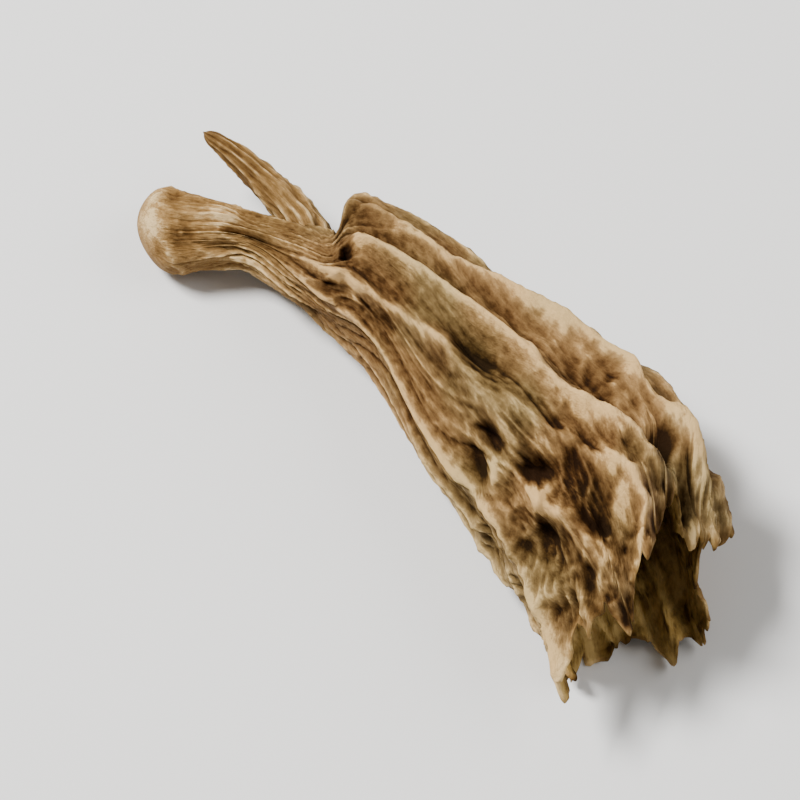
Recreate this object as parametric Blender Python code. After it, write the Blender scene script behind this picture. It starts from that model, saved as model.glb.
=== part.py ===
# One dried black trumpet mushroom, lying on its side with its foot at -X and its mouth at +X.
# Metres, +Z up. The surface it lies on is z = 0. Numbers below are millimetres until the mesh is made.
#
# The body is one skin. A station is a chord between the two sides of the flattened body, and a
# section stands on each chord as an ellipse. Pleats, a raised net of wrinkles and waves of the rim
# are added to both half axes of the ellipse, so the section never crosses itself.

from math import pi

import bmesh
import bpy
import numpy as np
from mathutils import Vector

MM = 0.001
SEED = 11

# Stations are measured from the foot end. This point of theirs becomes the part's origin.
MIDDLE = (7.07, 0.385, 0.0)

# Each station: left side x, y, z, right side x, y, z, and the half height of the section.
STATIONS = {
    "foot end": (-0.75, 0.70, 0.74, 0.50, -0.55, 0.74, 0.80),
    "knob": (-0.08, 1.22, 0.74, 1.25, -0.16, 0.74, 0.80),
    "neck": (1.35, 1.60, 0.86, 2.12, 0.78, 0.86, 0.56),
    "stem": (2.40, 2.15, 1.00, 3.38, 0.74, 1.00, 0.72),
    "notch": (3.20, 2.30, 1.10, 4.33, 0.74, 1.10, 0.86),
    "shoulder": (3.08, 2.98, 1.25, 5.22, 0.74, 1.15, 1.02),
    "fan start": (4.32, 3.46, 1.26, 6.42, 0.35, 1.20, 1.18),
    "fan low": (6.34, 3.50, 1.32, 8.12, -0.38, 1.25, 1.34),
    "fan middle": (8.43, 3.54, 1.38, 9.80, -0.92, 1.32, 1.44),
    "fan high": (10.43, 3.60, 1.48, 11.20, -1.36, 1.34, 1.52),
    "rim near": (12.40, 2.88, 1.56, 12.42, -1.86, 1.34, 1.52),
    "rim": (13.82, 1.78, 1.50, 13.55, -2.50, 1.20, 1.40),
    "past the rim": (15.10, 0.85, 1.42, 14.60, -3.10, 1.06, 1.26),
}
LAST = len(STATIONS) - 2

# The wall and the hollow inside it. The inner face takes the lowest relief within a reach, given
# as steps in stations and degrees. The hollow starts at a station and rounds out over a few more.
WALL = 0.66
LIP_OUT = 0.12
LEAST_HALF_AXIS = 0.02
REACH_ALONG, REACH_ROUND, REACH_SLANT = 0.22, 9, 0.68
HOLLOW_START = 5.2
HOLLOW_ROUNDED = 1.6

# Ridges that run from the stem to the rim: width in degrees, height, then the stations they pass and
# their angles round the section there.
RIDGES = (
    (11, 0.30, (4.8, 14), (7.5, 10), (10.6, 8)),
    (8, 0.54, (4.9, 60), (6.4, 64), (7.0, 55), (7.7, 48), (8.3, 45), (9.3, 44), (10.2, 36)),
    (9, 0.70, (4.9, 92), (6.1, 90), (7.1, 83), (7.9, 80), (8.4, 84), (9.0, 82), (9.5, 78), (10.1, 76)),
    (8, 0.62, (7.8, 107), (8.5, 104), (9.2, 97), (9.7, 88), (10.3, 85), (10.7, 94)),
    (9, 0.64, (3.4, 116), (5.0, 122), (6.0, 116), (6.9, 108), (7.5, 112), (8.2, 115)),
    (8, 0.52, (8.6, 128), (9.1, 126), (9.7, 120), (10.5, 112)),
    (9, 0.46, (3.4, 134), (4.6, 147), (6.9, 152), (7.5, 156), (8.4, 154), (9.5, 158), (11.6, 166)),
    (10, 0.28, (5.0, 180), (7.0, 183), (9.6, 186)),
    (12, 0.34, (4.6, 208), (10.2, 206)),
    (12, 0.34, (4.8, 236), (10.8, 238)),
    (13, 0.32, (3.4, 268), (10.2, 266)),
    (12, 0.36, (5.2, 300), (10.6, 302)),
    (12, 0.36, (4.8, 334), (10.4, 336)),
)
RIDGE_SHARPNESS = 1.5
RIDGE_FADE_IN = (-0.9, 0.6)
RIDGE_FADE_OUT = (-0.5, 0.6)
WANDER_DEGREES = 1.5
WANDER_RATE = 1.9
WANDER_SHIFT = 2.4
GROOVE_DEPTH = 0.17
GROOVES_FROM, GROOVES_FULL = 4.6, 6.0

# Hollows between the ridges: angle round the section, station, width in degrees, length in stations,
# depth. A depth below zero is a bump.
PITS = (
    (126, 1.10, 34, 0.36, 0.16),
    (80, 1.70, 26, 0.30, -0.12),
    (34, 4.40, 24, 0.36, 0.36),
    (97, 4.80, 9, 0.28, 0.34),
    (134, 6.90, 8, 0.60, 0.22),
    (97, 7.30, 8, 0.45, 0.30),
    (144, 7.79, 8, 0.26, 0.40),
    (124, 7.87, 8, 0.26, 0.50),
    (136, 8.11, 8, 0.26, -0.16),
    (116, 8.71, 9, 0.28, 0.40),
    (93, 8.75, 7, 0.50, 0.30),
    (66, 8.80, 8, 0.90, 0.20),
    (126, 8.93, 8, 0.26, -0.14),
    (139, 9.33, 11, 0.34, 0.42),
    (36, 9.65, 9, 0.30, -0.14),
    (60, 9.71, 10, 0.30, 0.46),
    (106, 9.85, 8, 0.36, 0.36),
    (147, 10.35, 8, 0.36, 0.28),
    (24, 9.00, 9, 0.50, 0.24),
    (220, 8.20, 10, 0.50, 0.26),
    (254, 9.30, 10, 0.45, 0.24),
    (318, 8.80, 11, 0.50, 0.28),
)

# A net of raised lines towards the rim, on the borders of cells whose centres are shifted at random.
NET_CELLS_ROUND = 10
NET_CELLS_ALONG = 5
NET_ROW = 0.85
NET_SHIFT = 0.34
NET_START = 7.2
NET_FULL = 8.6
NET_HEIGHT = 0.13
NET_LINE = 0.6
NET_LEVEL = 0.4

# Waves of the rim: how many round it, phase, height.
RIM_WAVES = ((5, 1.0, 0.16), (8, 2.5, 0.12), (13, 0.7, 0.07))
RIM_WAVE_START = 8.0
RIM_WAVE_GROWTH = 1.5

# Wrinkles of the stem: height, how many round it. Slow waves across it: height, rate, turns round it.
LENGTHWISE_WRINKLES = (0.045, 9)
CROSS_WAVES = (0.03, 3.1, 2)

# The ragged edge: angles round the section and the stations that its lobes and notches reach there.
EDGE_POINTS = (
    (0, 10.90),
    (16, 11.00),
    (29, 11.05),
    (40, 10.75),
    (50, 10.80),
    (62, 10.45),
    (74, 10.30),
    (84, 10.70),
    (96, 10.80),
    (105, 10.90),
    (114, 11.10),
    (122, 10.80),
    (130, 10.75),
    (138, 10.90),
    (148, 10.55),
    (158, 10.75),
    (166, 11.42),
    (173, 10.85),
    (186, 10.35),
    (200, 10.20),
    (215, 10.60),
    (232, 10.40),
    (248, 10.70),
    (262, 10.60),
    (276, 11.25),
    (290, 11.45),
    (300, 11.35),
    (312, 11.60),
    (322, 11.30),
    (334, 10.80),
    (346, 10.60),
)
# Lobes that reach far thin out to a share of the wall.
TAPER_FROM, TAPER_TO = 10.55, 11.7
TIP_WALL_SHARE = 0.5

# The grid of the body: columns round it and rows along it, which stretch with the edge past a station.
AROUND = 72
KNOB_ROWS = 5
STEM_ROWS = 12
FAN_ROWS = 30
HOLLOW_FIRST_ROW = KNOB_ROWS + STEM_ROWS
STRETCH_START = 6.0

ROOT_PATH = (
    (3.20, 1.85, 1.05),
    (2.50, 2.12, 1.25),
    (1.66, 2.21, 1.38),
    (0.69, 2.30, 1.45),
    (-0.30, 2.28, 1.50),
)
ROOT_RADII = (0.44, 0.38, 0.32, 0.26, 0.16)
ROOT_SIDES = 8
ROOT_ROWS = 12
ROOT_END_OUT = 0.12


def through(points, at):
    """A Catmull-Rom curve through the points, read at the station numbers in at."""
    points = np.asarray(points, float)
    ends = np.concatenate([[2 * points[0] - points[1]], points, [2 * points[-1] - points[-2]]])
    at = np.asarray(at, float)
    left = np.clip(np.floor(at).astype(int), 0, len(points) - 2)
    part = (at - left)[..., None]
    a, b, c, d = (ends[left + k] for k in range(4))
    square = 2 * a - 5 * b + 4 * c - d
    cube = 3 * b - a - 3 * c + d
    return 0.5 * (2 * b + (c - a) * part + square * part**2 + cube * part**3)


def step(low, high, value):
    """0 below low, 1 above high, with a smooth rise between."""
    part = np.clip((value - low) / (high - low), 0, 1)
    return part * part * (3 - 2 * part)


def turn_between(angle, centre):
    """The difference of two angles in degrees, from -180 to 180."""
    return (angle - centre + 180) % 360 - 180


def ridges(along, angle):
    """Each ridge is a bell across the section that follows its path, faded in and out at its ends."""
    total = np.zeros_like(along)
    for number, (width, height, *path) in enumerate(RIDGES):
        stations, angles = np.transpose(path)
        wander = WANDER_DEGREES * np.sin(WANDER_RATE * along + WANDER_SHIFT * number)
        centre = np.interp(along, stations, angles) + wander
        crest = np.exp(-(np.abs(turn_between(angle, centre) / width) ** RIDGE_SHARPNESS))
        begun = step(stations[0] + RIDGE_FADE_IN[0], stations[0] + RIDGE_FADE_IN[1], along)
        ended = step(stations[-1] + RIDGE_FADE_OUT[0], stations[-1] + RIDGE_FADE_OUT[1], along)
        total += height * crest * begun * (1 - ended)
    return total - GROOVE_DEPTH * step(GROOVES_FROM, GROOVES_FULL, along)


def net(along, angle):
    """Raised lines on the borders of seeded cells, where the nearest and second cell are equally far."""
    draw = np.random.default_rng(SEED)
    nearest = np.full(along.shape, np.inf)
    second = np.full(along.shape, np.inf)
    for row in range(NET_CELLS_ALONG):
        for column in range(NET_CELLS_ROUND):
            shift = draw.uniform(-NET_SHIFT, NET_SHIFT, 2)
            centre_along = NET_START + (row + 0.5 + shift[0]) * NET_ROW
            centre_angle = (column + 0.5 * (row % 2) + shift[1]) * 360 / NET_CELLS_ROUND
            round_cells = turn_between(angle, centre_angle) * NET_CELLS_ROUND / 360
            away = np.hypot((along - centre_along) / NET_ROW, round_cells)
            second = np.where(away < nearest, nearest, np.minimum(second, away))
            nearest = np.minimum(nearest, away)
    lines = 1 - step(0.0, NET_LINE, second - nearest)
    return NET_HEIGHT * (lines - NET_LEVEL) * step(NET_START, NET_FULL, along)


def rim_waves(along, angle):
    """Waves round the section that grow towards the edge and move both faces of the wall alike."""
    total = np.zeros_like(along)
    for count, phase, height in RIM_WAVES:
        total += height * np.sin(np.radians(count * angle) + phase)
    return total * step(RIM_WAVE_START, LAST, along) ** RIM_WAVE_GROWTH


def small_wrinkles(along, angle):
    """Shallow wrinkles of the stem and foot, running along them and broken by slow cross waves."""
    height, count = LENGTHWISE_WRINKLES
    lengthwise = height * np.sin(np.radians(count * angle) + 1.3 * np.sin(1.7 * along))
    height, rate, turns = CROSS_WAVES
    across = height * np.sin(rate * along + np.radians(turns * angle))
    on_stem = step(0.6, 1.8, along) * (1 - step(5.0, 6.5, along))
    return lengthwise * on_stem + across * step(0.2, 1.0, along)


def pits(along, angle):
    """Rounded hollows and bumps, each a bell along and across the body."""
    total = np.zeros_like(along)
    for centre, station, width, length, depth in PITS:
        ahead = (along - station) / length
        aside = turn_between(angle, centre) / width
        total -= depth * np.exp(-(ahead**2) - aside**2)
    return total


def fine_relief(along, angle):
    """All the relief of the outer face that the inner face takes up only in part."""
    return ridges(along, angle) + net(along, angle) + small_wrinkles(along, angle) + pits(along, angle)


def lowest_relief_near(along, angle):
    """The lowest relief at a place, and at four places beside it and four more at a slant."""
    lowest = fine_relief(along, angle)
    for ahead in (-1, 0, 1):
        for aside in (-1, 0, 1):
            share = REACH_SLANT if ahead and aside else 1
            there = fine_relief(along + share * REACH_ALONG * ahead, angle + share * REACH_ROUND * aside)
            lowest = np.minimum(lowest, there)
    return lowest


def edge_station(angle):
    """The station that the ragged edge reaches at each angle round the section."""
    angles, stations = np.transpose(EDGE_POINTS)
    return np.interp(angle, angles, stations, period=360)


def rounded(part):
    """A quarter circle: 0 at part 0, rising steeply at first, and 1 from part 1 on."""
    return np.sqrt(np.clip(1 - (1 - np.clip(part, 0, 1)) ** 2, 0, 1))


def skin(along, angle, hollow):
    """Points of the outer face, or of the inner face of the hollow, a wall's thickness further in.

    The inner face takes the lowest relief found near each place, so the wall is thin nowhere.
    """
    table = np.array(list(STATIONS.values()))
    left = through(table[:, 0:3], along)
    right = through(table[:, 3:6], along)
    half_height = through(table[:, 6:7], along)[..., 0]
    middle = (left + right) / 2
    half = (left - right) / 2
    half_width = np.linalg.norm(half, axis=-1)
    across = half / half_width[..., None]

    wall = 0.0
    cap = rounded(along)
    relief = rim_waves(along, angle) + fine_relief(along, angle)
    if hollow:
        wall = WALL * (1 - (1 - TIP_WALL_SHARE) * step(TAPER_FROM, TAPER_TO, along))
        relief = rim_waves(along, angle) + lowest_relief_near(along, angle)
        cap = rounded((along - HOLLOW_START) / HOLLOW_ROUNDED)
    wide = np.maximum(half_width - wall + relief, LEAST_HALF_AXIS) * cap
    high = np.maximum(half_height - wall + relief, LEAST_HALF_AXIS) * cap
    turn = np.radians(angle)
    points = middle + across * (np.cos(turn) * wide)[..., None]
    points[..., 2] += np.sin(turn) * high
    points[..., 2] = np.maximum(points[..., 2], wall)
    return points


def body_mesh():
    """The outer face from the foot to the edge, the lip, and the inner face down to the hollow's end."""
    angle = np.arange(AROUND) * 360 / AROUND
    knob = 1 - np.cos(np.arange(1, KNOB_ROWS + 1) / KNOB_ROWS * pi / 2)
    stem = np.linspace(1, HOLLOW_START, STEM_ROWS + 1)[1:]
    fan = np.linspace(HOLLOW_START, LAST, FAN_ROWS + 1)[1:]
    base = np.concatenate([knob, stem, fan])
    edge = edge_station(angle)
    share = np.clip((base - STRETCH_START) / (LAST - STRETCH_START), 0, 1)
    along = base[:, None] + (edge - LAST)[None, :] * share[:, None]
    angles = np.broadcast_to(angle, along.shape)

    outer = skin(along, angles, False)
    inner = skin(along[HOLLOW_FIRST_ROW:], angles[HOLLOW_FIRST_ROW:], True)[::-1]
    lip = (outer[-1] + inner[0]) / 2
    lip = lip + LIP_OUT * unit(outer[-1] - outer[-2])
    rings = np.concatenate([outer, lip[None], inner])
    return closed_tube(rings, pole(outer[0], outer[1]), pole(inner[-1], inner[-2]))


def pole(ring, next_ring):
    """The point that closes a ring, half a row beyond it."""
    middle = ring.mean(axis=0)
    return middle + 0.5 * (middle - next_ring.mean(axis=0))


def unit(vectors):
    return vectors / np.linalg.norm(vectors, axis=-1, keepdims=True)


def placed(point):
    """A point of the stations' frame, in metres from the part's origin."""
    return (Vector(point) - Vector(MIDDLE)) * MM


def closed_tube(rings, first_pole, last_pole):
    """Triangles over rings of equal count, every square split the same way, and a pole at each end."""
    rows, count = rings.shape[:2]
    mesh = bmesh.new()
    corners = [[mesh.verts.new(placed(point)) for point in ring] for ring in rings]
    start = mesh.verts.new(placed(first_pole))
    end = mesh.verts.new(placed(last_pole))
    for i in range(count):
        j = (i + 1) % count
        mesh.faces.new((start, corners[0][j], corners[0][i]))
        mesh.faces.new((end, corners[-1][i], corners[-1][j]))
        for row in range(rows - 1):
            low, high = corners[row], corners[row + 1]
            mesh.faces.new((low[i], low[j], high[j]))
            mesh.faces.new((low[i], high[j], high[i]))
    bmesh.ops.recalc_face_normals(mesh, faces=mesh.faces)
    return mesh


def root_mesh():
    """A round root carried along its path and tapered, sunk into the stem at its thick end."""
    at = np.linspace(0, len(ROOT_PATH) - 1, ROOT_ROWS)
    centres = through(ROOT_PATH, at)
    radii = through(np.array(ROOT_RADII)[:, None], at)
    ahead = unit(np.gradient(centres, axis=0))
    side = unit(np.cross(ahead, (0, 0, 1)))
    up = np.cross(side, ahead)
    turn = np.arange(ROOT_SIDES) * 2 * pi / ROOT_SIDES
    ring = side[:, None] * np.cos(turn)[None, :, None] + up[:, None] * np.sin(turn)[None, :, None]
    rings = centres[:, None] + ring * radii[:, None]
    return closed_tube(rings, centres[0], centres[-1] + ROOT_END_OUT * ahead[-1])


def add_object(name, mesh):
    data = bpy.data.meshes.new(name)
    mesh.to_mesh(data)
    mesh.free()
    made = bpy.data.objects.new(name, data)
    bpy.context.collection.objects.link(made)
    return made


def dried_flesh():
    material = bpy.data.materials.new("dried flesh")
    material.use_nodes = True
    shader = material.node_tree.nodes["Principled BSDF"]
    shader.inputs["Base Color"].default_value = (0.19, 0.105, 0.048, 1)
    shader.inputs["Roughness"].default_value = 0.7
    shader.inputs["Metallic"].default_value = 0.0
    return material


def main():
    for old in list(bpy.data.objects):
        bpy.data.objects.remove(old, do_unlink=True)
    mushroom = add_object("mushroom", body_mesh())
    root = add_object("root cutter", root_mesh())
    join = mushroom.modifiers.new("join root", "BOOLEAN")
    join.operation = "UNION"
    join.solver = "EXACT"
    join.object = root
    root.hide_render = True
    root.display_type = "WIRE"
    mushroom.data.materials.append(dried_flesh())
    mushroom.data.shade_smooth()


main()
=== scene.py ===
"""A dried black trumpet mushroom, lying on a pale floor and seen from above.

A fine skin takes the place of the modelled body. It is worked out from the same stations, ridges,
hollows, net and ragged edge, with a thinner wall, sharper creases and small crumples. Lengths are
millimetres, measured from the foot end, until a mesh is made.
"""

from math import atan, cos, pi, radians, sin

import bpy
import numpy as np
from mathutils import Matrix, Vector


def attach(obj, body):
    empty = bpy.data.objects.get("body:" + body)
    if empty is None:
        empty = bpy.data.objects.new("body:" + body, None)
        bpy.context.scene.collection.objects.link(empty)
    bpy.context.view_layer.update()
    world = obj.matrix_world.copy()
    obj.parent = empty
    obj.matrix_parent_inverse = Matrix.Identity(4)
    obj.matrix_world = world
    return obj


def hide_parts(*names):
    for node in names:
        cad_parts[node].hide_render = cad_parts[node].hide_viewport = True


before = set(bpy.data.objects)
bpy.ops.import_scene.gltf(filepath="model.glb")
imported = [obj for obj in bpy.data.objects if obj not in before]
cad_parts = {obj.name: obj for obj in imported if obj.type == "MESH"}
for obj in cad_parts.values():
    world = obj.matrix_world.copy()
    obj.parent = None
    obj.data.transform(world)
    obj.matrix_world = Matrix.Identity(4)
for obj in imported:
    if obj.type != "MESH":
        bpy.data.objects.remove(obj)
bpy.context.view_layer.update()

MM = 0.001

# The stations' point that is the part's origin.
MIDDLE = np.array((7.07, 0.385, 0.0))

# Each station: left side x, y, z, right side x, y, z, and the half height of the section.
STATIONS = {
    "foot end": (-0.75, 0.70, 0.74, 0.50, -0.55, 0.74, 0.80),
    "knob": (-0.08, 1.22, 0.74, 1.25, -0.16, 0.74, 0.80),
    "neck": (1.35, 1.60, 0.86, 2.12, 0.78, 0.86, 0.56),
    "stem": (2.40, 2.15, 1.00, 3.38, 0.74, 1.00, 0.72),
    "notch": (3.20, 2.30, 1.10, 4.33, 0.74, 1.10, 0.86),
    "shoulder": (3.08, 2.98, 1.25, 5.22, 0.74, 1.15, 1.02),
    "fan start": (4.32, 3.46, 1.26, 6.42, 0.35, 1.20, 1.18),
    "fan low": (6.34, 3.50, 1.32, 8.12, -0.38, 1.25, 1.34),
    "fan middle": (8.43, 3.54, 1.38, 9.80, -0.92, 1.32, 1.44),
    "fan high": (10.43, 3.60, 1.48, 11.20, -1.36, 1.34, 1.52),
    "rim near": (12.40, 2.88, 1.56, 12.42, -1.86, 1.34, 1.52),
    "rim": (13.82, 1.78, 1.50, 13.55, -2.50, 1.20, 1.40),
    "past the rim": (15.10, 0.85, 1.42, 14.60, -3.10, 1.06, 1.26),
}
LAST = len(STATIONS) - 2
HOLLOW_START = 5.2
HOLLOW_ROUNDED = 1.6

# Ridges that run from the stem to the rim: width in degrees, height, then the stations they pass and
# their angles round the section there.
RIDGES = (
    (11, 0.30, (4.8, 14), (7.5, 10), (10.6, 8)),
    (8, 0.54, (4.9, 60), (6.4, 64), (7.0, 55), (7.7, 48), (8.3, 45), (9.3, 44), (10.2, 36)),
    (9, 0.70, (4.9, 92), (6.1, 90), (7.1, 83), (7.9, 80), (8.4, 84), (9.0, 82), (9.5, 78), (10.1, 76)),
    (8, 0.62, (7.8, 107), (8.5, 104), (9.2, 97), (9.7, 88), (10.3, 85), (10.7, 94)),
    (9, 0.64, (3.4, 116), (5.0, 122), (6.0, 116), (6.9, 108), (7.5, 112), (8.2, 115)),
    (8, 0.52, (8.6, 128), (9.1, 126), (9.7, 120), (10.5, 112)),
    (9, 0.46, (3.4, 134), (4.6, 147), (6.9, 152), (7.5, 156), (8.4, 154), (9.5, 158), (11.6, 166)),
    (10, 0.28, (5.0, 180), (7.0, 183), (9.6, 186)),
    (12, 0.34, (4.6, 208), (10.2, 206)),
    (12, 0.34, (4.8, 236), (10.8, 238)),
    (13, 0.32, (3.4, 268), (10.2, 266)),
    (12, 0.36, (5.2, 300), (10.6, 302)),
    (12, 0.36, (4.8, 334), (10.4, 336)),
)
RIDGE_SHARPNESS = 1.5
RIDGE_FADE_IN = (-0.9, 0.6)
RIDGE_FADE_OUT = (-0.5, 0.6)
WANDER_DEGREES = 1.5
WANDER_RATE = 1.9
WANDER_SHIFT = 2.4
GROOVE_DEPTH = 0.17
GROOVES_FROM, GROOVES_FULL = 4.6, 6.0
# The visual ridges also have a thin crest: height, width in degrees.
CREST = (0.07, 3.0)
# The fine relief rises above the body's, so all of it is set lower by this much.
RELIEF_LOWERED = 0.03

# Hollows between the ridges: angle round the section, station, width in degrees, length in stations,
# depth. A depth below zero is a bump.
PITS = (
    (126, 1.10, 34, 0.36, 0.16),
    (80, 1.70, 26, 0.30, -0.12),
    (34, 4.40, 24, 0.36, 0.36),
    (97, 4.80, 9, 0.28, 0.34),
    (134, 6.90, 8, 0.60, 0.22),
    (97, 7.30, 8, 0.45, 0.30),
    (144, 7.79, 8, 0.26, 0.40),
    (124, 7.87, 8, 0.26, 0.50),
    (136, 8.11, 8, 0.26, -0.16),
    (116, 8.71, 9, 0.28, 0.40),
    (93, 8.75, 7, 0.50, 0.30),
    (66, 8.80, 8, 0.90, 0.20),
    (126, 8.93, 8, 0.26, -0.14),
    (139, 9.33, 11, 0.34, 0.42),
    (36, 9.65, 9, 0.30, -0.14),
    (60, 9.71, 10, 0.30, 0.46),
    (106, 9.85, 8, 0.36, 0.36),
    (147, 10.35, 8, 0.36, 0.28),
    (24, 9.00, 9, 0.50, 0.24),
    (220, 8.20, 10, 0.50, 0.26),
    (254, 9.30, 10, 0.45, 0.24),
    (318, 8.80, 11, 0.50, 0.28),
)
# Here they are smaller and deeper than in the body: factors of size and depth.
PIT_SIZE, PIT_DEPTH = 0.84, 1.05
# A rise that fills a groove, and small hollows and bumps that only the visual has, in the same form.
SMALL_PITS = (
    (126, 1.12, 26, 0.28, 0.03),
    (60, 0.95, 20, 0.22, 0.07),
    (98, 6.45, 10, 0.60, -0.22),
    (60, 8.20, 7, 0.50, -0.12),
    (116, 2.35, 18, 0.26, 0.06),
    (150, 0.60, 22, 0.20, 0.06),
    (97, 7.95, 11, 0.55, -0.20),
    (128, 5.00, 9, 0.40, -0.12),
    (132, 6.70, 9, 0.80, -0.18),
    (90, 8.65, 6, 0.45, -0.16),
    (101, 8.80, 6, 0.40, 0.10),
    (109, 8.62, 6, 0.26, -0.22),
    (123, 8.54, 6, 0.20, 0.24),
    (99, 10.00, 7, 0.30, -0.18),
    (114, 9.58, 6, 0.30, 0.18),
    (122, 4.45, 8, 0.22, -0.14),
    (51, 9.68, 6, 0.18, 0.34),
    (6, 9.95, 18, 0.50, 0.36),
    (187, 8.45, 13, 0.60, 0.30),
    (197, 5.40, 12, 0.70, 0.10),
    (128, 5.90, 7, 0.26, 0.14),
    (112, 4.20, 9, 0.24, -0.10),
    (150, 8.95, 7, 0.24, 0.20),
    (52, 10.40, 6, 0.22, 0.26),
    (70, 10.05, 6, 0.24, -0.12),
    (152, 9.85, 6, 0.22, -0.12),
    (128, 10.25, 6, 0.24, 0.22),
    (20, 10.10, 7, 0.26, 0.20),
)

# Patches of colour: angle, station, width in degrees, length in stations, how much more olive. Below
# zero is more orange.
OLIVE_PATCHES = (
    (86, 6.40, 16, 0.80, 0.9),
    (98, 8.00, 10, 0.50, 0.9),
    (142, 6.60, 12, 0.80, -0.9),
    (115, 5.50, 10, 0.50, -0.9),
    (60, 7.80, 20, 0.90, -0.4),
)

# Patches of painted light in the same form: paler ones are painted highlights on crests, bumps and the
# knob's rim, and darker ones, below zero, painted shade in pits and grooves.
HIGHLIGHT_AND_SHADE_PATCHES = (
    (112, 0.42, 60, 0.40, 0.38),
    (93, 1.14, 16, 0.25, 0.20),
    (153, 0.57, 20, 0.30, -0.15),
    (94, 1.60, 16, 0.35, 0.24),
    (116, 2.35, 22, 0.35, -0.16),
    (78, 2.90, 12, 0.25, -0.14),
    (172, 2.00, 18, 0.70, 0.22),
    (150, 3.20, 10, 0.80, 0.20),
    (104, 2.90, 8, 0.60, 0.16),
    (105, 3.65, 9, 0.30, 0.14),
    (156, 3.90, 14, 0.60, 0.14),
    (114, 4.13, 9, 0.40, 0.15),
    (89, 4.57, 7, 0.16, -0.35),
    (123, 4.60, 9, 0.45, 0.28),
    (60, 5.30, 14, 0.40, -0.25),
    (57, 2.26, 8, 0.20, -0.30),
    (94, 6.20, 11, 0.60, 0.14),
    (45, 4.90, 24, 0.50, -0.20),
    (48, 7.70, 6, 0.80, 0.30),
    (44, 8.90, 6, 0.60, 0.16),
    (78, 7.60, 7, 0.50, 0.15),
    (84, 8.90, 8, 0.40, 0.28),
    (92, 9.80, 6, 0.40, 0.12),
    (136, 8.11, 7, 0.24, 0.24),
    (126, 8.93, 7, 0.24, 0.20),
    (162, 6.20, 7, 0.90, 0.18),
    (158, 7.40, 7, 0.60, 0.28),
    (167, 9.90, 7, 0.90, 0.30),
    (70, 8.43, 6, 0.40, 0.10),
    (34, 9.65, 9, 0.35, 0.26),
    (62, 10.20, 6, 0.35, -0.20),
    (30, 10.50, 10, 0.45, 0.26),
    (44, 11.00, 9, 0.35, 0.26),
    (131, 6.70, 9, 0.90, 0.26),
    (89, 7.00, 7, 0.32, 0.16),
    (107, 7.30, 5, 0.25, -0.25),
    (107, 7.75, 6, 0.35, -0.28),
    (88, 8.40, 7, 0.45, 0.24),
    (101, 8.82, 5, 0.40, -0.25),
    (99, 9.10, 5, 0.30, -0.25),
    (109, 8.62, 5, 0.24, 0.30),
    (51, 9.68, 6, 0.20, -0.45),
    (123, 8.54, 5, 0.16, -0.30),
    (97, 10.00, 7, 0.30, 0.26),
    (115, 9.55, 6, 0.30, -0.26),
    (70, 9.85, 6, 0.25, -0.35),
    (153, 8.97, 5, 0.25, -0.30),
    (118, 10.75, 5, 0.16, -0.28),
    (11, 10.00, 8, 0.30, -0.30),
    (149, 10.32, 6, 0.30, 0.30),
    (64, 8.40, 7, 0.70, -0.12),
    (24, 9.00, 9, 0.60, -0.10),
)

# The coarse net that the body has, and a fine one between its lines. Each begins at a station and is
# full at another, and the level sinks what lies between its lines.
COARSE_NET = {
    "seed": 11,
    "cells_round": 10,
    "cells_along": 5,
    "row_length": 0.85,
    "start": 7.2,
    "full": 8.6,
    "height": 0.13,
    "line": 0.6,
    "level": 0.4,
}
FINE_NET = {
    "seed": 12,
    "cells_round": 24,
    "cells_along": 12,
    "row_length": 0.46,
    "start": 6.2,
    "full": 8.8,
    "height": 0.050,
    "line": 0.42,
    "level": 0.35,
}
NET_SHIFT = 0.34

# Grooves along the stem, which swing slowly from side to side, and low waves across it: the stations
# between which they begin and between which they end.
STEM_GROOVES = 9
STEM_GROOVE_HEIGHT = 0.045
STEM_SWING, STEM_SWING_RATE = 1.3, 1.7
STEM_BEGINS = (0.6, 1.8)
STEM_ENDS = (5.0, 6.5)
CROSS_WAVE_HEIGHT = 0.03
CROSS_WAVE_RATE, CROSS_WAVE_TURNS = 3.1, 2
CROSS_WAVES_BEGIN = (0.2, 1.0)

# Sums of waves: seed, lowest and highest rate along, fewest turns round and one past the most, then
# how many waves, where it isn't the usual count.
BEND_ROUND = (31, (0.8, 2.2), (1, 4), 10)
BEND_ALONG = (32, (0.8, 2.4), (1, 5), 10)
FOLDS = (33, (0.3, 1.5), (7, 16))
THREADS = (34, (0.3, 1.8), (22, 44))
CRUMPLE = (35, (3, 9), (8, 24))
CLEFTS = (38, (0.15, 0.9), (7, 17))
GRAIN = (36, (16, 42), (14, 60))
CREPE = (39, (5, 15), (18, 44))
KNOTS = (40, (1.5, 5.5), (2, 7))
NICKS = (37, (0, 1), (9, 34), 14)
TEARS = (44, (0, 1), (8, 26), 14)

# How far the slow waves bend the folds, in degrees and in stations, and the height of each kind.
BEND_DEGREES, BEND_STATIONS = 7, 0.16
FOLD_HEIGHT = 0.085
CLEFT_DEPTH = 0.110
THREAD_HEIGHT = 0.026
CRUMPLE_HEIGHT = 0.034
CREPE_HEIGHT = 0.028
KNOT_HEIGHT = 0.055
GRAIN_HEIGHT = 0.008
# What is taken off creased lines so that they add little thickness, and how much thinner some are.
CREASE_LEVEL = 0.3
CLEFT_THINNESS, KNOT_THINNESS, TEAR_THINNESS = 1.5, 1.2, 1.7
# The stations between which the folds set in on the stem and weaken on the fan, the crumples grow
# towards the rim, the foot's knots end, and all of the fine relief sets in.
FOLDS_BEGIN = (0.9, 2.2)
FOLDS_WEAKEN = (4.6, 6.4)
CRUMPLES_GROW = (5.5, 9.5)
KNOTS_END = (1.2, 3.0)
FINE_RELIEF_BEGINS = (0.1, 0.9)

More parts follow.
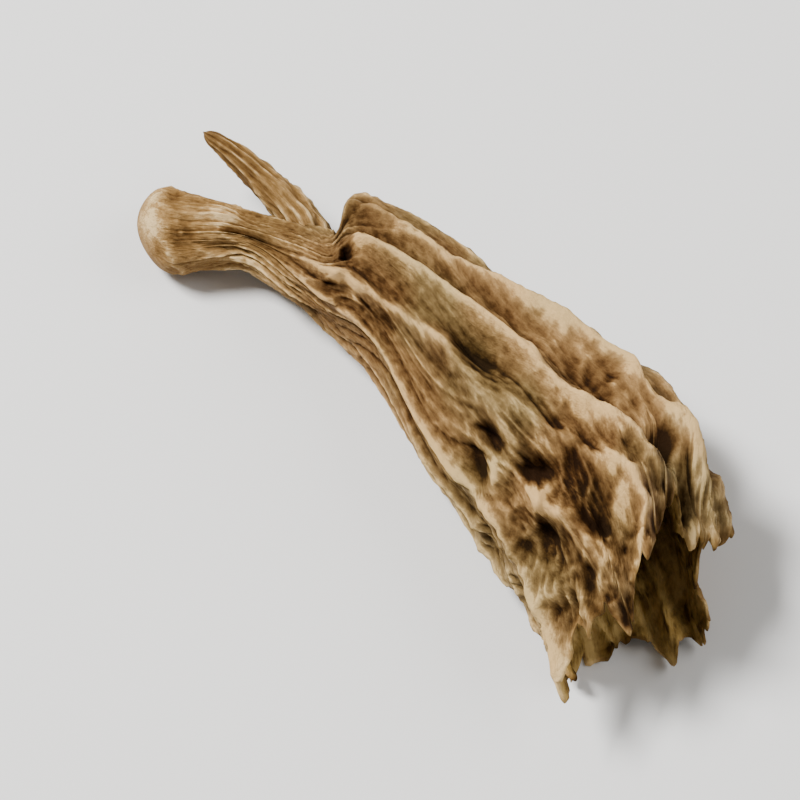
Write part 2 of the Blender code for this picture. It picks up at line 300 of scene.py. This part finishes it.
# Waves of the rim: how many round it, phase, height.
RIM_WAVES = ((5, 1.0, 0.16), (8, 2.5, 0.12), (13, 0.7, 0.07))
RIM_WAVE_START = 8.0
RIM_WAVE_GROWTH = 1.5
RUFFLES = ((17, 0.4, 0.10), (24, 2.1, 0.06))
RUFFLE_START = 9.2
SCALLOP_REACH, SCALLOP_SHIFT = 0.06, 4

# The ragged edge: angles round the section and the stations that its lobes and notches reach there.
EDGE_POINTS = (
    (0, 10.90),
    (16, 11.00),
    (29, 11.05),
    (40, 10.75),
    (50, 10.80),
    (62, 10.45),
    (74, 10.30),
    (84, 10.70),
    (96, 10.80),
    (105, 10.90),
    (114, 11.25),
    (122, 10.80),
    (130, 10.75),
    (138, 10.90),
    (148, 10.55),
    (154, 10.70),
    (160, 10.90),
    (167, 11.22),
    (172, 11.12),
    (178, 10.60),
    (186, 10.35),
    (200, 10.20),
    (215, 10.60),
    (232, 10.40),
    (248, 10.70),
    (262, 10.60),
    (276, 11.25),
    (290, 11.45),
    (300, 11.35),
    (312, 11.60),
    (322, 11.30),
    (334, 10.80),
    (346, 10.60),
)
NICK_DEPTH = 0.04
TEAR_DEPTH = 0.20

# The wall and how it thins to the edge, the edge's outward curl in waves round it, and the least
# half width and half height of a section.
WALL = 0.36
EDGE_WALL = 0.11
EDGE_THINS_OVER = 1.3
CURL, CURL_OVER = 0.13, 0.7
CURL_WAVES, CURL_PHASE = 6, 40
CURL_EVEN, CURL_WAVY = 0.35, 0.65
LEAST_HALF = 0.02

# The tone of a place that is level with its surroundings, and how much painted highlight it gains for
# each millimetre above its near and its wider surroundings, and painted shade for each millimetre
# below them, each a reach in rows of the grid.
LEVEL_TONE = 0.55
NEAR_REACH, NEAR_SHADING = 2, 5.5
WIDE_REACH, WIDE_SHADING = 9, 0.9
# How much of the inside's colour the lip takes.
LIP_INSIDE = 0.35

# The grid: columns round it, closer together on top by a share, and rows of each stretch.
AROUND = 296
CLOSER_ON_TOP = 0.3
KNOB_ROWS = 14
STEM_ROWS = 60
FAN_ROWS = 150
HOLLOW_ROWS = 96
LIP_ROWS = 3
STRETCH_START = 6.0

ROOT_PATH = (
    (3.20, 1.85, 1.05),
    (2.50, 2.12, 1.25),
    (1.66, 2.21, 1.38),
    (0.69, 2.30, 1.45),
    (-0.30, 2.28, 1.50),
)
ROOT_RADII = (0.44, 0.38, 0.32, 0.25, 0.13)
ROOT_TIP, ROOT_TIP_ROUNDED = 4.01, 0.35
ROOT_ROWS, ROOT_SIDES = 150, 72
ROOT_FOLDS = (41, (0.4, 1.8), (2, 7), 12)
ROOT_THREADS = (43, (1.0, 4.0), (5, 12), 16)
ROOT_CRUMPLE = (42, (2, 9), (1, 5), 16)
# Shares of the root's radius: what the grooves leave, and what each kind of wrinkle adds.
ROOT_CORE = 0.88
ROOT_FOLD, ROOT_THREAD, ROOT_CRUMPLED = 0.24, 0.10, 0.05
# The root's tone, how much painted highlight it gains on raised wrinkles and painted shade in its
# grooves, how much it loses towards the tip, the reach of its surroundings, and the station that its
# colour is taken from, which drops along it.
ROOT_TONE, ROOT_RELIEF_SHADING, ROOT_TIP_TONE = 0.78, 2.4, 0.09
ROOT_REACH = 3
ROOT_STATION, ROOT_STATION_STEP = 2.2, 0.45

# The camera's turn and look down, its lens and the width that it takes in.
CAMERA_TURN = 42.1
CAMERA_LOOK_DOWN = 56.0
CAMERA_LENS = 200.0
SENSOR = 36.0
VIEW_WIDTH = 15.6
VIEW_MIDDLE = (6.75, 0.35, 1.0)

# Metres: how far the lamps stand from the mushroom, and half the side of the floor.
LAMP_DISTANCE = 0.16
FLOOR_REACH = 0.6


def through(points, at):
    """A Catmull-Rom curve through the points: on each stretch a cubic whose slope at a point is half
    the step between that point's two neighbours."""
    points = np.asarray(points, float)
    ends = np.concatenate([[2 * points[0] - points[1]], points, [2 * points[-1] - points[-2]]])
    at = np.asarray(at, float)
    left = np.clip(np.floor(at).astype(int), 0, len(points) - 2)
    part = (at - left)[..., None]
    a, b, c, d = (ends[left + k] for k in range(4))
    square = 2 * a - 5 * b + 4 * c - d
    cube = 3 * b - a - 3 * c + d
    return 0.5 * (2 * b + (c - a) * part + square * part**2 + cube * part**3)


def step(low, high, value):
    """0 below low, 1 above high, and three squares less two cubes of the share between."""
    part = np.clip((value - low) / (high - low), 0, 1)
    return part * part * (3 - 2 * part)


def rounded(part):
    """A quarter circle: the root of one less the square of what is left to 1."""
    return np.sqrt(np.clip(1 - (1 - np.clip(part, 0, 1)) ** 2, 0, 1))


def turn_between(angle, centre):
    """The difference of two angles in degrees, from -180 to 180."""
    return (angle - centre + 180) % 360 - 180


def unit(vectors):
    """Each vector divided by its own length."""
    return vectors / np.linalg.norm(vectors, axis=-1, keepdims=True)


def waves(along, angle, seed, rates, turns, count=26):
    """A seeded sum of sines, each with its own rate along the body and a whole number of turns round
    it, so the pattern closes on itself; divided so that most of it lies between -1 and 1."""
    draw = np.random.default_rng(seed)
    total = np.zeros(np.broadcast(along, angle).shape)
    for _ in range(count):
        rate = draw.uniform(*rates) * draw.choice((-1, 1))
        turn = int(draw.integers(*turns))
        phase = draw.uniform(0, 2 * pi)
        total += np.sin(rate * along + turn * np.radians(angle) + phase)
    return total / np.sqrt(count)


def creased(values):
    """Thin raised lines where the values pass through 0: one less their size, squared."""
    return np.clip(1 - np.abs(values), 0, 1) ** 2


def ridges(along, angle):
    """Each ridge is a bell across the section with a thin crest on it. It follows its path, which
    wanders on a slow sine, and is faded in and out at its ends."""
    total = np.zeros_like(along)
    for number, (width, height, *path) in enumerate(RIDGES):
        stations, angles = np.transpose(path)
        wander = WANDER_DEGREES * np.sin(WANDER_RATE * along + WANDER_SHIFT * number)
        away = np.abs(turn_between(angle, np.interp(along, stations, angles) + wander))
        bell = height * np.exp(-((away / width) ** RIDGE_SHARPNESS))
        crest = CREST[0] * np.exp(-((away / CREST[1]) ** RIDGE_SHARPNESS))
        begun = step(stations[0] + RIDGE_FADE_IN[0], stations[0] + RIDGE_FADE_IN[1], along)
        ended = step(stations[-1] + RIDGE_FADE_OUT[0], stations[-1] + RIDGE_FADE_OUT[1], along)
        total += (bell + crest) * begun * (1 - ended)
    return total - GROOVE_DEPTH * step(GROOVES_FROM, GROOVES_FULL, along)


def net(along, angle, seed, cells_round, cells_along, row_length, start, full, height, line, level):
    """Raised lines on the borders of seeded cells: high where the nearest and the second nearest
    cell centre are equally far, and falling to nothing over the line width."""
    draw = np.random.default_rng(seed)
    nearest = np.full(along.shape, np.inf)
    second = np.full(along.shape, np.inf)
    for row in range(cells_along):
        for column in range(cells_round):
            shift = draw.uniform(-NET_SHIFT, NET_SHIFT, 2)
            centre_along = start + (row + 0.5 + shift[0]) * row_length
            centre_angle = (column + 0.5 * (row % 2) + shift[1]) * 360 / cells_round
            round_cells = turn_between(angle, centre_angle) * cells_round / 360
            away = np.hypot((along - centre_along) / row_length, round_cells)
            second = np.where(away < nearest, nearest, np.minimum(second, away))
            nearest = np.minimum(nearest, away)
    lines = 1 - step(0.0, line, second - nearest)
    return height * (lines - level) * step(start, full, along)


def ruffles(angle):
    """Short sines round the edge."""
    total = np.zeros(np.shape(angle))
    for count, phase, height in RUFFLES:
        total += height * np.sin(np.radians(count * angle) + phase)
    return total


def rim_waves(along, angle):
    """Sines round the section that grow towards the edge and move both faces of the wall alike."""
    total = np.zeros_like(along)
    for count, phase, height in RIM_WAVES:
        total += height * np.sin(np.radians(count * angle) + phase)
    total *= step(RIM_WAVE_START, LAST, along) ** RIM_WAVE_GROWTH
    return total + ruffles(angle) * step(RUFFLE_START, LAST, along) ** RIM_WAVE_GROWTH


def small_wrinkles(along, angle):
    """Shallow sines that run along the stem, and slow ones across the stem and foot."""
    swing = STEM_SWING * np.sin(STEM_SWING_RATE * along)
    lengthwise = STEM_GROOVE_HEIGHT * np.sin(np.radians(STEM_GROOVES * angle) + swing)
    turned = np.radians(CROSS_WAVE_TURNS * angle)
    across = CROSS_WAVE_HEIGHT * np.sin(CROSS_WAVE_RATE * along + turned)
    on_stem = step(*STEM_BEGINS, along) * (1 - step(*STEM_ENDS, along))
    return lengthwise * on_stem + across * step(*CROSS_WAVES_BEGIN, along)


def pits(along, angle):
    """Rounded hollows and bumps, each a bell along and across the body."""
    total = np.zeros_like(along)
    for centre, station, width, length, depth in PITS + SMALL_PITS:
        ahead = (along - station) / (length * PIT_SIZE)
        aside = turn_between(angle, centre) / (width * PIT_SIZE)
        total -= depth * PIT_DEPTH * np.exp(-(ahead**2) - aside**2)
    return total


def patches(along, angle, table):
    """How much more of a colour each place has than its surroundings: a bell round each patch's
    middle."""
    total = np.zeros_like(along)
    for centre, station, width, length, share in table:
        ahead = (along - station) / length
        aside = turn_between(angle, centre) / width
        total += share * np.exp(-(ahead**2) - aside**2)
    return total


def fine_folds(along, angle):
    """Shrinkage folds: creased waves that run along the body, bent by slow waves, and small crumples
    that grow towards the rim. The foot has them faintly, and knots of its own."""
    bent = angle + BEND_DEGREES * waves(along, angle, *BEND_ROUND)
    shifted = along + BEND_STATIONS * waves(along, angle, *BEND_ALONG)
    folds = creased(waves(shifted, bent, *FOLDS)) - CREASE_LEVEL
    threads = creased(waves(shifted, bent, *THREADS)) - CREASE_LEVEL
    crumple = creased(waves(shifted, bent, *CRUMPLE)) - CREASE_LEVEL
    clefts = creased(CLEFT_THINNESS * waves(shifted, bent, *CLEFTS))
    grain = waves(along, angle, *GRAIN)
    crepe = creased(waves(shifted, bent, *CREPE)) - CREASE_LEVEL
    knots = creased(KNOT_THINNESS * waves(along, angle, *KNOTS)) - CREASE_LEVEL
    stem = step(*FOLDS_BEGIN, along)
    fan = step(*FOLDS_WEAKEN, along)
    rim = step(*CRUMPLES_GROW, along)
    foot = 1 - step(*KNOTS_END, along)
    total = (FOLD_HEIGHT * folds - CLEFT_DEPTH * clefts) * (0.25 + 0.75 * stem - 0.35 * fan)
    total += THREAD_HEIGHT * threads * (0.1 + 0.9 * stem)
    total += CRUMPLE_HEIGHT * crumple * (0.25 + 0.25 * stem + 0.5 * rim)
    total += CREPE_HEIGHT * crepe * (0.2 + 0.3 * stem + 0.5 * rim)
    return total + KNOT_HEIGHT * knots * foot + GRAIN_HEIGHT * grain


def relief(along, angle):
    """All the relief of the outer face: the sum of the ridges, both nets, the hollows and bumps, the
    folds, which begin on the foot, and the wrinkles, set lower as a whole."""
    coarse = ridges(along, angle) + net(along, angle, **COARSE_NET) + pits(along, angle)
    fine = net(along, angle, **FINE_NET) + fine_folds(along, angle)
    fine *= step(*FINE_RELIEF_BEGINS, along)
    return coarse + fine + small_wrinkles(along, angle) - RELIEF_LOWERED


def edge_station(angle):
    """The station that the ragged edge reaches at each angle: straight lines between its points,
    with scallops that follow the ruffles, fine nicks from waves and short tears from creased ones."""
    angles, stations = np.transpose(EDGE_POINTS)
    reach = np.interp(angle, angles, stations, period=360)
    scallops = SCALLOP_REACH * ruffles(angle - SCALLOP_SHIFT) / RUFFLES[0][2]
    tears = TEAR_DEPTH * creased(TEAR_THINNESS * waves(0.0, angle, *TEARS))
    nicks = NICK_DEPTH * waves(0.0, angle, *NICKS)
    return reach + scallops + nicks - tears


def skin(along, angle, edge, raised, inner):
    """Points of a face. A section is an ellipse on the chord between the sides of the flattened body,
    with the relief added to both half axes; the inner face is a wall's thickness further in. The
    edge curls out a little, and nothing reaches below the floor."""
    table = np.array(list(STATIONS.values()))
    left = through(table[:, 0:3], along)
    right = through(table[:, 3:6], along)
    half_height = through(table[:, 6:7], along)[..., 0]
    middle = (left + right) / 2
    half = (left - right) / 2
    half_width = np.linalg.norm(half, axis=-1)
    across = half / half_width[..., None]

    gap = edge - along
    wall = 0.0
    cap = rounded(along)
    if inner:
        wall = EDGE_WALL + (WALL - EDGE_WALL) * step(0, EDGE_THINS_OVER, gap)
        cap = rounded((along - HOLLOW_START) / HOLLOW_ROUNDED)
    curl_wave = np.sin(np.radians(CURL_WAVES * angle + CURL_PHASE))
    curl = CURL * (1 - step(0, CURL_OVER, gap)) * (CURL_EVEN + CURL_WAVY * curl_wave)
    out = raised + rim_waves(along, angle) + curl - wall
    wide = np.maximum(half_width + out, LEAST_HALF) * cap
    high = np.maximum(half_height + out, LEAST_HALF) * cap
    turn = np.radians(angle)
    points = middle + across * (np.cos(turn) * wide)[..., None]
    points[..., 2] += np.sin(turn) * high
    points[..., 2] = np.maximum(points[..., 2], wall)
    return points


def blurred(values, reach):
    """Each value becomes the mean of a square of the grid round it, weighted by a bell that is the
    reach wide. Round the body the square wraps, and along it the end rows are repeated."""
    rows = np.arange(len(values))
    shifts = np.arange(-2 * reach, 2 * reach + 1)
    weights = np.exp(-0.5 * (shifts / reach) ** 2)
    weights /= weights.sum()
    spread = np.zeros_like(values)
    for shift, weight in zip(shifts, weights):
        spread += weight * np.roll(values, shift, axis=1)
    result = np.zeros_like(values)
    for shift, weight in zip(shifts, weights):
        result += weight * spread[np.clip(rows + shift, 0, len(values) - 1)]
    return result


def relief_shading(raised):
    """Painted light and shade: how light each place is, from how far it stands above its near and its
    wider surroundings, so crests get painted highlight and grooves and hollows painted shade.
    """
    near = raised - blurred(raised, NEAR_REACH)
    wide = raised - blurred(raised, WIDE_REACH)
    return np.clip(LEVEL_TONE + NEAR_SHADING * near + WIDE_SHADING * wide, 0, 1)


def body_rings():
    """The rings of the outer face from the foot to the edge, of the rounded lip, and of the inner
    face down to the end of the hollow, with their attributes."""
    turn = np.arange(AROUND) * 2 * pi / AROUND
    angle = np.degrees(turn + CLOSER_ON_TOP * (np.cos(turn) - 1))
    edge = edge_station(angle)
    knob = 1 - np.cos(np.arange(1, KNOB_ROWS + 1) / KNOB_ROWS * pi / 2)
    stem = np.linspace(1, HOLLOW_START, STEM_ROWS + 1)[1:]
    fan = np.linspace(HOLLOW_START, LAST, FAN_ROWS + 1)[1:]
    outer_base = np.concatenate([knob, stem, fan])
    inner_base = np.linspace(LAST, HOLLOW_START, HOLLOW_ROWS + 1)[:-1]

    def grid(base):
        """The stations and angles of rows of points. Past the stretch's start each row is moved by a
        growing share of how far the edge lies from the last station."""
        share = np.clip((base - STRETCH_START) / (LAST - STRETCH_START), 0, 1)
        along = base[:, None] + (edge - LAST)[None, :] * share[:, None]
        angles = np.broadcast_to(angle, along.shape)
        return along, angles

    along, angles = grid(outer_base)
    raised = relief(along, angles)
    outer = skin(along, angles, edge, raised, False)
    inner_along, inner_angles = grid(inner_base)
    inner_raised = relief(inner_along, inner_angles)
    inner = skin(inner_along, inner_angles, edge, inner_raised, True)

    middle = (outer[-1] + inner[0]) / 2
    half = (outer[-1] - inner[0]) / 2
    ahead = unit(outer[-1] - outer[-3]) * EDGE_WALL / 2
    turns = np.arange(1, LIP_ROWS + 1) / (LIP_ROWS + 1) * pi
    lip = middle + half * np.cos(turns)[:, None, None] + ahead * np.sin(turns)[:, None, None]
    lip[..., 2] = np.maximum(lip[..., 2], 0)

    rings = np.concatenate([outer, lip, inner])
    # Painted light and shade from the relief on both faces, and on the outer face the patches of
    # painted highlight and shade.
    outer_light_and_shade = relief_shading(raised) + patches(along, angles, HIGHLIGHT_AND_SHADE_PATCHES)
    inner_light_and_shade = relief_shading(inner_raised)
    olive = patches(along, angles, OLIVE_PATCHES)
    lip_rows = np.ones((LIP_ROWS, AROUND))
    facts = {
        "shade_and_tone": np.concatenate([outer_light_and_shade, lip_rows * outer_light_and_shade[-1], inner_light_and_shade]),
        "station": np.concatenate([along, lip_rows * edge, inner_along]),
        "inside": np.concatenate([0 * outer_light_and_shade, LIP_INSIDE * lip_rows, 1 + 0 * inner_light_and_shade]),
        "edge": np.concatenate([edge - along, 0 * lip_rows, edge - inner_along]),
        "olive": np.concatenate([olive, 0 * lip_rows, 0 * inner_light_and_shade]),
    }
    turn = np.radians(np.broadcast_to(angle, rings.shape[:2]))
    cap = rounded(facts["station"])
    facts["grain"] = np.stack([cap * np.cos(turn), cap * np.sin(turn), facts["station"]], axis=-1)
    return rings, facts


def pole(ring, next_ring):
    """The point that closes a ring, half a row beyond it."""
    middle = ring.mean(axis=0)
    return middle + 0.5 * (middle - next_ring.mean(axis=0))


def tube_piece(name, rings, facts, poles):
    """A closed piece from rings of equal count: a square between each two points of neighbouring
    rings, and a fan of triangles to the pole at each end. Facts become attributes of its points."""
    rows, count = rings.shape[:2]
    points = np.concatenate([rings.reshape(-1, 3), poles])
    corner = np.arange(rows * count).reshape(rows, count)
    beside = np.roll(corner, -1, axis=1)
    squares = np.stack([corner[:-1], beside[:-1], beside[1:], corner[1:]], axis=-1).reshape(-1, 4)
    start = np.full(count, rows * count)
    first = np.stack([start, beside[0], corner[0]], axis=-1)
    last = np.stack([start + 1, corner[-1], beside[-1]], axis=-1)
    mesh = bpy.data.meshes.new(name)
    faces = squares.tolist() + first.tolist() + last.tolist()
    mesh.from_pydata(((points - MIDDLE) * MM).tolist(), [], faces)
    for fact, values in facts.items():
        flat = values.reshape((rows * count,) + values.shape[2:])
        ends = np.stack([flat[:count].mean(axis=0), flat[-count:].mean(axis=0)])
        flat = np.concatenate([flat, ends])
        kind, key = ("FLOAT_VECTOR", "vector") if flat.ndim == 2 else ("FLOAT", "value")
        attribute = mesh.attributes.new(fact, kind, "POINT")
        attribute.data.foreach_set(key, flat.astype(np.float32).ravel())
    mesh.update()
    mesh.shade_smooth()
    return add_piece(name, mesh)


def add_piece(name, mesh):
    """An object of the mesh that rides on the body, in place of the modelled mushroom."""
    piece = bpy.data.objects.new(name, mesh)
    bpy.context.scene.collection.objects.link(piece)
    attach(piece, "root")
    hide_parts("mushroom")
    return piece


def make_body(material):
    """The body from foot to rim, closed by a pole at the foot and one at the end of the hollow."""
    rings, facts = body_rings()
    poles = np.stack([pole(rings[0], rings[1]), pole(rings[-1], rings[-2])])
    piece = tube_piece("mushroom_body", rings, facts, poles)
    piece.data.materials.append(material)


def make_root(material):
    """A root carried along its path, with a radius that tapers and lengthwise wrinkles in it."""
    at = np.linspace(0, len(ROOT_PATH) - 1, ROOT_ROWS)
    centres = through(ROOT_PATH, at)
    radii = through(np.array(ROOT_RADII)[:, None], at)
    ahead = unit(np.gradient(centres, axis=0))
    side = unit(np.cross(ahead, (0, 0, 1)))
    up = np.cross(side, ahead)
    angle = np.arange(ROOT_SIDES) * 360 / ROOT_SIDES
    along, angles = np.meshgrid(at, angle, indexing="ij")
    folds = creased(waves(along, angles, *ROOT_FOLDS))
    threads = creased(waves(along, angles, *ROOT_THREADS))
    crumple = waves(along, angles, *ROOT_CRUMPLE)
    raised = ROOT_FOLD * folds + ROOT_THREAD * threads + ROOT_CRUMPLED * crumple
    turn = np.radians(angle)
    ring = side[:, None] * np.cos(turn)[None, :, None] + up[:, None] * np.sin(turn)[None, :, None]
    radii = radii * rounded((ROOT_TIP - at) / ROOT_TIP_ROUNDED)[:, None]
    rings = centres[:, None] + ring * (radii * (ROOT_CORE + raised))[..., None]
    grain = np.stack([np.cos(np.radians(angles)), np.sin(np.radians(angles)), along], axis=-1)
    # Painted light and shade: the root's raised wrinkles are lighter and its grooves darker.
    above = raised - blurred(raised, ROOT_REACH)
    facts = {
        "shade_and_tone": np.clip(ROOT_TONE + ROOT_RELIEF_SHADING * above - ROOT_TIP_TONE * along, 0, 1),
        "station": ROOT_STATION - ROOT_STATION_STEP * along,
        "inside": 0 * along,
        "edge": 3 + 0 * along,
        "olive": 0 * along,
        "grain": grain,
    }
    rings = rings[:, ::-1]
    facts = {fact: values[:, ::-1] for fact, values in facts.items()}
    poles = np.stack([centres[0], centres[-1] + 0.06 * ahead[-1]])
    piece = tube_piece("side_root", rings, facts, poles)
    piece.data.materials.append(material)


class Nodes:
    """A short way to add nodes to a material and link them."""

    def __init__(self, name):
        """A new material with its shader."""
        self.material = bpy.data.materials.new(name)
        self.material.use_nodes = True
        self.tree = self.material.node_tree
        self.shader = self.tree.nodes["Principled BSDF"]

    def add(self, kind, settings=None, **inputs):
        """A new node with its settings, and its inputs by name or, as i0 and so on, by number."""
        node = self.tree.nodes.new("ShaderNode" + kind)
        for key, value in (settings or {}).items():
            setattr(node, key, value)
        for key, value in inputs.items():
            self.put(node, key, value)
        return node

    def put(self, node, key, value):
        """Links a socket to the input, or sets it to a plain value."""
        numbered = key[:1] == "i" and key[1:].isdigit()
        socket = node.inputs[int(key[1:]) if numbered else key]
        if isinstance(value, bpy.types.NodeSocket):
            self.tree.links.new(value, socket)
        else:
            socket.default_value = value

    def fact(self, name, output="Fac"):
        """One of the attributes that a piece's points carry."""
        return self.add("Attribute", {"attribute_name": name}).outputs[output]

    def math(self, operation, *values):
        """The operation's result on the values."""
        node = self.add("Math", {"operation": operation})
        for number, value in enumerate(values):
            self.put(node, f"i{number}", value)
        return node.outputs[0]

    def span(self, value, low, high, to_low=0.0, to_high=1.0):
        """The value's share of the way from low to high, as the same share of the way between two
        other values."""
        node = self.add("MapRange", {"clamp": True})
        for number, given in enumerate((value, low, high, to_low, to_high)):
            self.put(node, f"i{number}", given)
        return node.outputs[0]

    def noise(self, vector, scale, detail, rough):
        """Layered noise, from 0 to 1."""
        node = self.add("TexNoise", Vector=vector, Scale=scale, Detail=detail, Roughness=rough)
        return node.outputs["Fac"]

    def ramp(self, value, *stops):
        """A colour that runs evenly from stop to stop as the value rises."""
        node = self.add("ValToRGB", i0=value)
        while len(node.color_ramp.elements) < len(stops):
            node.color_ramp.elements.new(0.5)
        for element, (place, colour) in zip(node.color_ramp.elements, stops):
            element.position = place
            element.color = (*colour, 1)
        return node.outputs["Color"]

    def mix(self, share, first, second):
        """The first colour, with a share of the second in its place."""
        node = self.add("Mix", {"data_type": "RGBA"})
        for number, value in ((0, share), (6, first), (7, second)):
            self.put(node, f"i{number}", value)
        return node.outputs[2]


def dried_flesh():
    """Tan and olive flesh, with painted shade that makes the grooves near black and painted highlight
    on the ridges, a pale foot, a dark inside with more painted shade deeper in the hollow, and a pale
    thin edge.
    """
    n = Nodes("dried flesh")
    place = n.add("TexCoord").outputs["Object"]
    grain = n.fact("grain", "Vector")
    long_grain = n.add("Mapping", Vector=grain, Scale=(9.0, 9.0, 1.6)).outputs[0]
    fibres = n.noise(long_grain, 3.0, 7.0, 0.70)
    specks = n.noise(place, 5200.0, 3.0, 0.6)
    blotches = n.noise(place, 520.0, 3.0, 0.5)

    shade_and_tone = n.math("ADD", n.fact("shade_and_tone"), n.span(fibres, 0.3, 0.7, -0.17, 0.17))
    shade_and_tone = n.math("ADD", shade_and_tone, n.span(specks, 0.3, 0.7, -0.11, 0.11))
    shade_and_tone = n.math("ADD", shade_and_tone, n.span(blotches, 0.35, 0.65, -0.07, 0.07))
    # The ramps turn the tone into colour: low values are painted shade in grooves and pits, high ones
    # painted highlight on crests.
    tan_ramp = n.ramp(
        shade_and_tone,
        (0.06, (0.018, 0.007, 0.002)),
        (0.26, (0.062, 0.026, 0.006)),
        (0.46, (0.130, 0.064, 0.018)),
        (0.66, (0.213, 0.114, 0.036)),
        (0.84, (0.350, 0.199, 0.067)),
        (1.00, (0.620, 0.385, 0.150)),
    )
    olive_ramp = n.ramp(
        shade_and_tone,
        (0.06, (0.016, 0.008, 0.002)),
        (0.26, (0.054, 0.028, 0.006)),
        (0.46, (0.112, 0.066, 0.019)),
        (0.66, (0.184, 0.114, 0.037)),
        (0.84, (0.304, 0.200, 0.072)),
        (1.00, (0.560, 0.385, 0.160)),
    )
    foot_ramp = n.ramp(
        shade_and_tone,
        (0.06, (0.050, 0.021, 0.005)),
        (0.30, (0.130, 0.062, 0.016)),
        (0.56, (0.240, 0.128, 0.037)),
        (0.80, (0.430, 0.255, 0.090)),
        (1.00, (0.800, 0.560, 0.270)),
    )
    inner_ramp = n.ramp(
        shade_and_tone,
        (0.10, (0.080, 0.040, 0.009)),
        (0.50, (0.330, 0.200, 0.052)),
        (0.90, (0.600, 0.400, 0.135)),
    )
    # Painted shade: the inside darkens away from the edge, deeper into the hollow.
    deep_shade = n.ramp(
        shade_and_tone,
        (0.10, (0.012, 0.006, 0.002)),
        (0.90, (0.110, 0.066, 0.020)),
    )
    to_edge = n.fact("edge")
    inner_colour = n.mix(n.span(to_edge, 1.0, 3.4), inner_ramp, deep_shade)
    olive_blotches = n.span(n.noise(place, 380.0, 2.0, 0.5), 0.42, 0.60)
    olive = n.math("ADD", olive_blotches, n.fact("olive"))
    colour = n.mix(olive, tan_ramp, olive_ramp)
    pale_foot = n.span(n.fact("station"), 1.7, 3.6, 1.0, 0.0)
    pale_edge = n.span(to_edge, 0, 0.2, 0.6, 0.0)
    colour = n.mix(n.math("MAXIMUM", pale_foot, pale_edge), colour, foot_ramp)
    colour = n.mix(n.fact("inside"), colour, inner_colour)
    n.put(n.shader, "Base Color", colour)
    n.put(n.shader, "Roughness", n.span(shade_and_tone, 0.1, 0.9, 0.85, 0.58))
    n.put(n.shader, "Specular IOR Level", n.span(shade_and_tone, 0.2, 0.9, 0.06, 0.26))
    bump = n.add("Bump", Strength=0.8, Distance=0.00009, Height=fibres)
    fine = n.add("Bump", Strength=0.7, Distance=0.00004, Height=specks, Normal=bump.outputs[0])
    n.put(n.shader, "Normal", fine.outputs[0])
    return n.material


def pale_floor():
    """A plain matt floor: one square."""
    mesh = bpy.data.meshes.new("floor")
    corners = [(FLOOR_REACH * x, FLOOR_REACH * y, 0) for x, y in ((-1, -1), (1, -1), (1, 1), (-1, 1))]
    mesh.from_pydata(corners, [], [(0, 1, 2, 3)])
    floor = bpy.data.objects.new("floor", mesh)
    bpy.context.scene.collection.objects.link(floor)
    n = Nodes("pale floor")
    n.put(n.shader, "Base Color", (0.80, 0.79, 0.77, 1))
    n.put(n.shader, "Roughness", 0.9)
    mesh.materials.append(n.material)


def camera_axes():
    """The unit vectors to the camera's right, up in its picture, and back from what it looks at."""
    turn, down = radians(CAMERA_TURN), radians(CAMERA_LOOK_DOWN)
    right = Vector((cos(turn), sin(turn), 0))
    back = Vector((sin(turn) * cos(down), -cos(turn) * cos(down), sin(down)))
    return right, back.cross(right), back


def make_camera():
    """A long lens, as far back as makes the view's width fill the sensor, aimed at its middle."""
    data = bpy.data.cameras.new("camera")
    data.lens = CAMERA_LENS
    data.sensor_width = SENSOR
    data.clip_start = 0.002
    data.clip_end = 5.0
    camera = bpy.data.objects.new("camera", data)
    bpy.context.scene.collection.objects.link(camera)
    right, up, back = camera_axes()
    half_view = atan(SENSOR / 2 / CAMERA_LENS)
    distance = VIEW_WIDTH * MM / 2 / np.tan(half_view)
    target = Vector((np.array(VIEW_MIDDLE) - MIDDLE) * MM)
    camera.location = target + back * float(distance)
    camera.rotation_euler = (-back).to_track_quat("-Z", "Y").to_euler()
    bpy.context.scene.camera = camera


def softbox(name, sideways, upwards, nearer, power, size):
    """A square lamp facing the mushroom, placed by shares of the camera's right, up and back."""
    right, up, back = camera_axes()
    towards = (sideways * right + upwards * up + nearer * back).normalized()
    data = bpy.data.lights.new(name, "AREA")
    data.energy = power
    data.size = size
    lamp = bpy.data.objects.new(name, data)
    bpy.context.scene.collection.objects.link(lamp)
    lamp.location = towards * LAMP_DISTANCE
    lamp.rotation_euler = (-towards).to_track_quat("-Z", "Y").to_euler()


def studio():
    """A key light from the upper left, a larger and weaker one from the right, and a dim room."""
    softbox("key light", sideways=-0.66, upwards=0.70, nearer=0.62, power=0.58, size=0.05)
    softbox("fill light", sideways=0.85, upwards=0.45, nearer=0.60, power=0.13, size=0.12)
    world = bpy.data.worlds.new("studio")
    world.use_nodes = True
    world.node_tree.nodes["Background"].inputs["Color"].default_value = (1.0, 0.99, 0.97, 1)
    world.node_tree.nodes["Background"].inputs["Strength"].default_value = 0.25
    bpy.context.scene.world = world


make_camera()
flesh = dried_flesh()
make_body(flesh)
make_root(flesh)
pale_floor()
studio()
